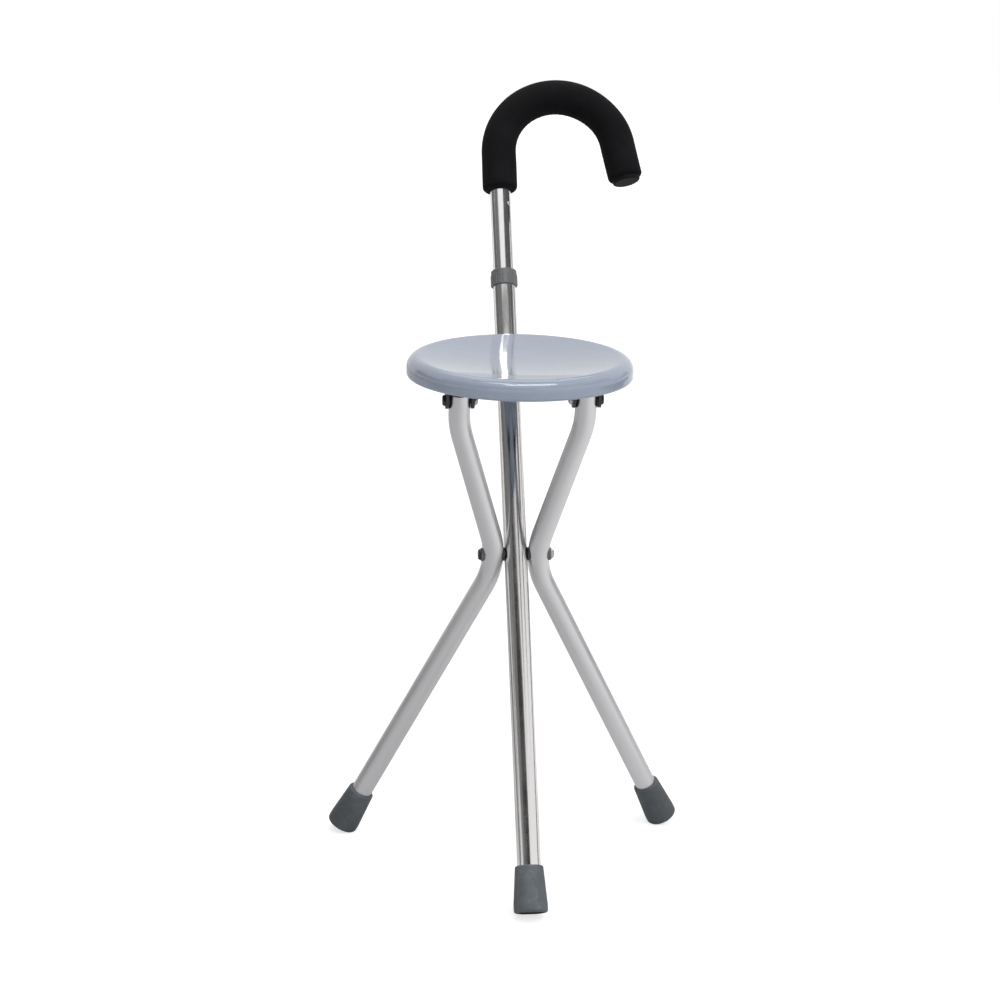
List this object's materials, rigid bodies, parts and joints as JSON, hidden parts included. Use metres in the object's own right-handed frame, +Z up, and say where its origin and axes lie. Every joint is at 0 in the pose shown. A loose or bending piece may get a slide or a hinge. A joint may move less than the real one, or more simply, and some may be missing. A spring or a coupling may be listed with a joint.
{
  "type": "walking stick seat",
  "caption": "Folding walking stick that opens into a tripod stool with a round moulded seat, bent side legs, rubber tips, an adjustable pole and a foam-covered crook handle.",
  "frame": {"origin": "on the floor under the middle of the open stool's outline", "axes": "+Z up, +X to the user's right when facing the back from the front foot, which is the side the crook's free end points to, +Y towards the back, where the pole leans and the handle is"},
  "size_m": [0.3778, 0.4692, 0.7818],
  "materials": {
    "pole_metal": "anodised mid grey, satin gloss",
    "handle_metal": "polished",
    "leg_metal": "satin, lightly brushed",
    "tip_rubber": "moulded, matte with a dusty bloom",
    "sole_steel": "plain zinc plated",
    "grip_foam": "closed-cell foam, matte",
    "plug_plastic": "moulded, fine grain",
    "collar_plastic": "moulded, satin",
    "bush_nylon": "natural nylon",
    "spacer_nylon": "moulded black nylon",
    "bolt_steel": "black zinc plated",
    "nut_steel": "bright zinc plated",
    "rivet_steel": "plain",
    "spring_steel": "spring strip, bright",
    "seat_plastic": "pale grey moulding, glossy top",
    "bracket_plastic": "moulded, fine grain",
    "catch_plastic": "moulded, fine grain"
  },
  "bodies": {
    "pole_body": {"main_pole": "pole_metal", "pole_hub_bush": "bush_nylon", "pole_tip": "tip_rubber", "pole_tip_washer": "sole_steel", "collet_bush": "bush_nylon", "catch_collar": "catch_plastic", "catch_screw": "bolt_steel", "catch_nut": "nut_steel", "hub_axle_bolt": "bolt_steel", "hub_axle_nut": "nut_steel"},
    "collar_body": {"lock_collar": "collar_plastic"},
    "handle_body": {"handle_tube": "handle_metal", "foam_grip": "grip_foam", "grip_end_plug": "plug_plastic", "guide_plug": "bush_nylon", "stop_rivet": "rivet_steel"},
    "button_body": {"snap_button_clip": "spring_steel"},
    "leg_body": {"right_leg": "leg_metal", "left_leg": "leg_metal", "right_leg_tip": "tip_rubber", "left_leg_tip": "tip_rubber", "leg_tip_washers": "sole_steel", "leg_spacers": "spacer_nylon", "leg_hub_bushes": "bush_nylon", "leg_pivot_bushes": "bush_nylon", "leg_top_caps": "plug_plastic", "hub_axle_washers": "spacer_nylon"},
    "seat_body": {"seat_shell": "seat_plastic", "right_seat_bracket": "bracket_plastic", "left_seat_bracket": "bracket_plastic", "seat_bracket_screws": "bolt_steel", "pivot_bolts": "bolt_steel", "pivot_nuts": "nut_steel", "seat_fork": "bracket_plastic", "fork_screws": "bolt_steel"}
  },
  "joints": [
    {"name": "legs_fold", "type": "hinge", "parent": "pole_body", "child": "leg_body", "pos_m": [0, -0.0364, 0.326], "axis": [-1, 0, 0], "range_deg": [0, 41]},
    {"name": "seat_fold", "type": "hinge", "parent": "leg_body", "child": "seat_body", "pos_m": [0, -0.06979, 0.49778], "axis": [1, 0, 0], "range_deg": [0, 101]},
    {"name": "handle_slide", "type": "slide", "parent": "pole_body", "child": "handle_body", "axis": [0, 0.5, 0.866], "range_m": [-0.05, 0.05]},
    {"name": "button_press", "type": "slide", "parent": "handle_body", "child": "button_body", "axis": [0, -0.866, 0.5], "range_m": [0, 0.0037], "stiffness_N_per_m": 2000, "deforming": ["snap_button_clip"]},
    {"name": "collar_twist", "type": "hinge", "parent": "pole_body", "child": "collar_body", "pos_m": [0, 0.113, 0.58477], "axis": [0, 0.5, 0.866], "range_deg": [0, 180]}
  ],
  "couplings": [
    {"joint": "seat_fold", "follows": "legs_fold", "ratio": 2.4629}
  ]
}
